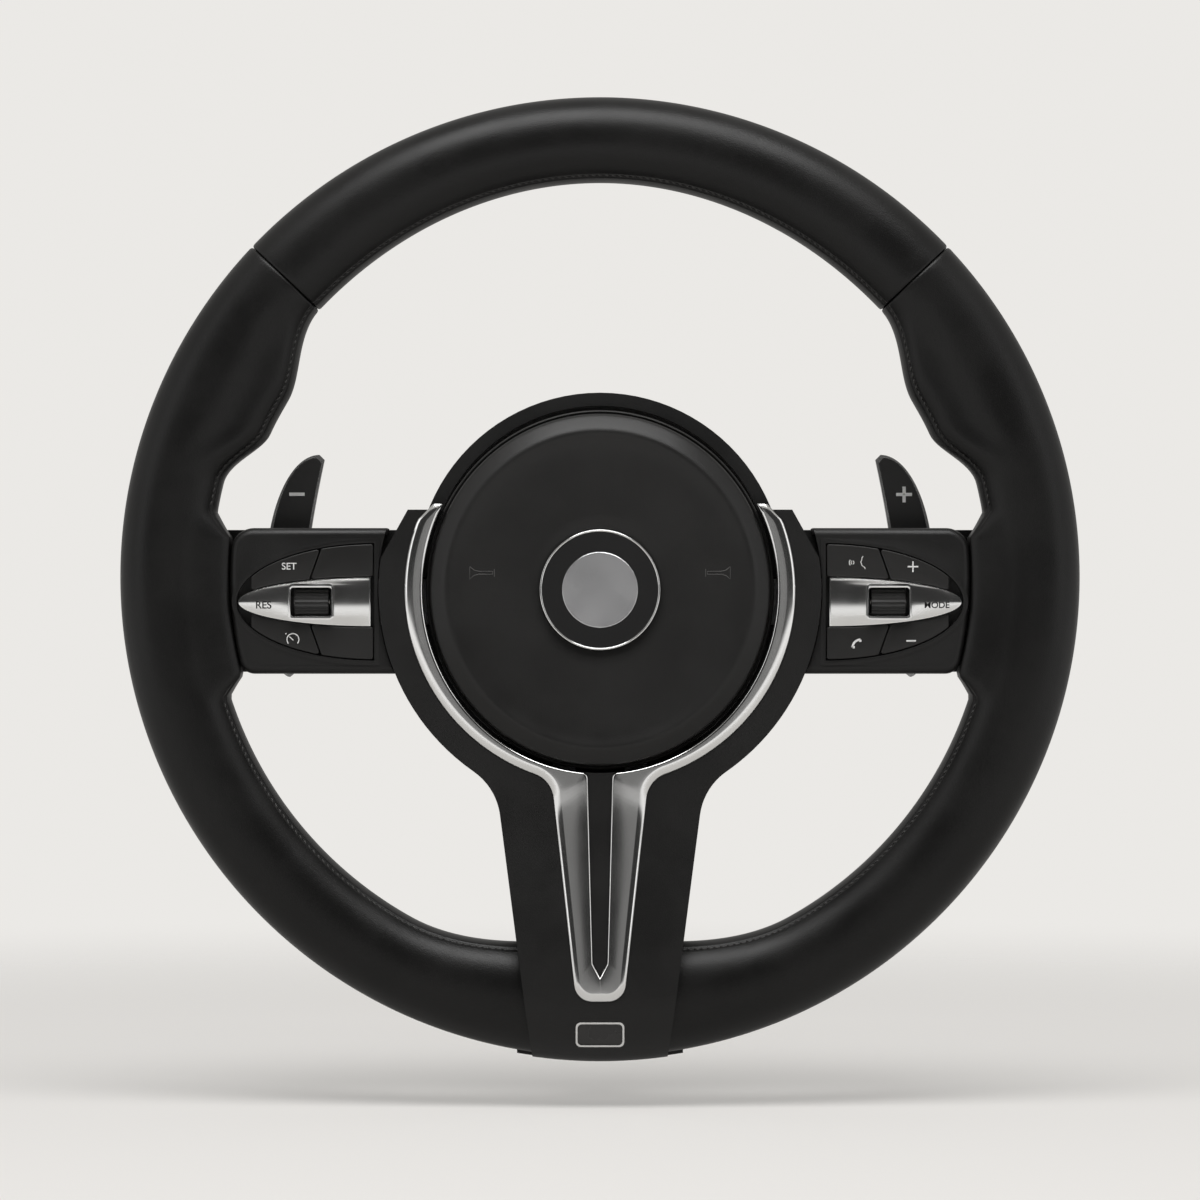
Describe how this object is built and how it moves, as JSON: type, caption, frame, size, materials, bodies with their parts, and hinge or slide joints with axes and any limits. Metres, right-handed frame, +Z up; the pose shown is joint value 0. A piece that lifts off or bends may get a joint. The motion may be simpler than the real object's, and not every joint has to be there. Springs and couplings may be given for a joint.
{
  "type": "car steering wheel",
  "caption": "Leather-rimmed car steering wheel with a round airbag pad, chrome-trimmed lower spoke, multifunction switch pads and shift paddles on a bored hub.",
  "frame": {"origin": "on the steering axis, at the mouth of the column bore on the hub's rear face", "axes": "+Y along the steering axis towards the column, so the driver sits on the -Y side; +Z up with the wheel straight ahead; +X to the driver's right"},
  "size_m": [0.37, 0.0696, 0.3718],
  "materials": {
    "steel": "zinc plated",
    "cast_armature": "as cast",
    "airbag_can": "satin",
    "rim_foam": "moulded foam",
    "black_leather": "smooth grain",
    "grained_black": "fine grain",
    "satin_black": "satin",
    "bright_chrome": "satin bright",
    "plain_inlay": "satin",
    "dark_plastic": "matte",
    "circuit_board": "solder mask",
    "soft_black": "soft touch",
    "satin_silver": "satin silver",
    "paddle_face": "satin",
    "gloss_black": "gloss",
    "badge_disc": "brushed",
    "cushion_cloth": "woven",
    "key_black": "soft touch"
  },
  "bodies": {
    "wheel": {"armature": "cast_armature", "blade_pin_left": "steel", "blade_pin_right": "steel", "chrome_trim": "bright_chrome", "cover_screws": "steel", "horn_springs": "steel", "hub_insert": "steel", "leather_left": "black_leather", "leather_right": "black_leather", "leather_top": "black_leather", "lower_badge_frame": "bright_chrome", "lower_badge_inlay": "plain_inlay", "paddle_bracket_left": "dark_plastic", "paddle_bracket_right": "dark_plastic", "paddle_pin_left": "steel", "paddle_pin_right": "steel", "paddle_screws": "steel", "rear_cover": "grained_black", "rim_foam": "rim_foam", "roller_axle_left": "steel", "roller_axle_right": "steel", "spoke_cover": "satin_black", "switch_board_left": "circuit_board", "switch_board_right": "circuit_board", "switch_housing_left": "grained_black", "switch_housing_right": "grained_black", "switch_tray_left": "dark_plastic", "switch_tray_right": "dark_plastic", "tray_screws": "steel"},
    "airbag_module": {"airbag_cover": "grained_black", "airbag_can": "airbag_can", "inflator": "steel", "airbag_cushion": "cushion_cloth", "guide_pins": "steel", "badge_base": "gloss_black", "badge_disc": "badge_disc"},
    "key_left_bottom_inner": {"key_left_bottom_inner": "key_black"},
    "key_left_bottom_outer": {"key_left_bottom_outer": "key_black"},
    "key_left_top_inner": {"key_left_top_inner": "key_black"},
    "key_left_top_outer": {"key_left_top_outer": "key_black"},
    "key_right_bottom_inner": {"key_right_bottom_inner": "key_black"},
    "key_right_bottom_outer": {"key_right_bottom_outer": "key_black"},
    "key_right_top_inner": {"key_right_top_inner": "key_black"},
    "key_right_top_outer": {"key_right_top_outer": "key_black"},
    "blade_left": {"blade_left": "satin_silver"},
    "roller_left": {"roller_left": "soft_black"},
    "paddle_left": {"paddle_left": "satin_silver", "paddle_inlay_left": "paddle_face"},
    "blade_right": {"blade_right": "satin_silver"},
    "roller_right": {"roller_right": "soft_black"},
    "paddle_right": {"paddle_right": "satin_silver", "paddle_inlay_right": "paddle_face"}
  },
  "joints": [
    {"name": "horn_push", "type": "slide", "parent": "wheel", "child": "airbag_module", "axis": [0, 1, 0], "range_m": [0, 0.0012], "stiffness_N_per_m": 12000, "deforming": ["horn_springs"]},
    {"name": "key_left_bottom_inner_press", "type": "slide", "parent": "wheel", "child": "key_left_bottom_inner", "axis": [0, 1, 0], "range_m": [0, 0.0007], "stiffness_N_per_m": 1500},
    {"name": "key_left_bottom_outer_press", "type": "slide", "parent": "wheel", "child": "key_left_bottom_outer", "axis": [0, 1, 0], "range_m": [0, 0.0007], "stiffness_N_per_m": 1500},
    {"name": "key_left_top_inner_press", "type": "slide", "parent": "wheel", "child": "key_left_top_inner", "axis": [0, 1, 0], "range_m": [0, 0.0007], "stiffness_N_per_m": 1500},
    {"name": "key_left_top_outer_press", "type": "slide", "parent": "wheel", "child": "key_left_top_outer", "axis": [0, 1, 0], "range_m": [0, 0.0007], "stiffness_N_per_m": 1500},
    {"name": "key_right_bottom_inner_press", "type": "slide", "parent": "wheel", "child": "key_right_bottom_inner", "axis": [0, 1, 0], "range_m": [0, 0.0007], "stiffness_N_per_m": 1500},
    {"name": "key_right_bottom_outer_press", "type": "slide", "parent": "wheel", "child": "key_right_bottom_outer", "axis": [0, 1, 0], "range_m": [0, 0.0007], "stiffness_N_per_m": 1500},
    {"name": "key_right_top_inner_press", "type": "slide", "parent": "wheel", "child": "key_right_top_inner", "axis": [0, 1, 0], "range_m": [0, 0.0007], "stiffness_N_per_m": 1500},
    {"name": "key_right_top_outer_press", "type": "slide", "parent": "wheel", "child": "key_right_top_outer", "axis": [0, 1, 0], "range_m": [0, 0.0007], "stiffness_N_per_m": 1500},
    {"name": "blade_left_tilt", "type": "hinge", "parent": "wheel", "child": "blade_left", "pos_m": [-0.0902, -0.0556, -0.0096], "axis": [0, 0, -1], "range_deg": [0, 1.5], "stiffness_Nm_per_rad": 1.5},
    {"name": "blade_right_tilt", "type": "hinge", "parent": "wheel", "child": "blade_right", "pos_m": [0.0902, -0.0556, -0.0096], "axis": [0, 0, 1], "range_deg": [0, 1.5], "stiffness_Nm_per_rad": 1.5},
    {"name": "roller_left_rock", "type": "hinge", "parent": "wheel", "child": "roller_left", "pos_m": [-0.1109, -0.0536, -0.0096], "axis": [1, 0, 0], "range_deg": [-12, 12], "stiffness_Nm_per_rad": 0.03},
    {"name": "roller_right_spin", "type": "hinge", "parent": "wheel", "child": "roller_right", "pos_m": [0.1109, -0.0536, -0.0096], "axis": [1, 0, 0], "continuous": true},
    {"name": "paddle_left_pull", "type": "hinge", "parent": "wheel", "child": "paddle_left", "pos_m": [-0.084, -0.0209, -0.011], "axis": [0, 0, 1], "range_deg": [0, 4.5], "stiffness_Nm_per_rad": 1.8},
    {"name": "paddle_right_pull", "type": "hinge", "parent": "wheel", "child": "paddle_right", "pos_m": [0.084, -0.0209, -0.011], "axis": [0, 0, -1], "range_deg": [0, 4.5], "stiffness_Nm_per_rad": 1.8}
  ]
}
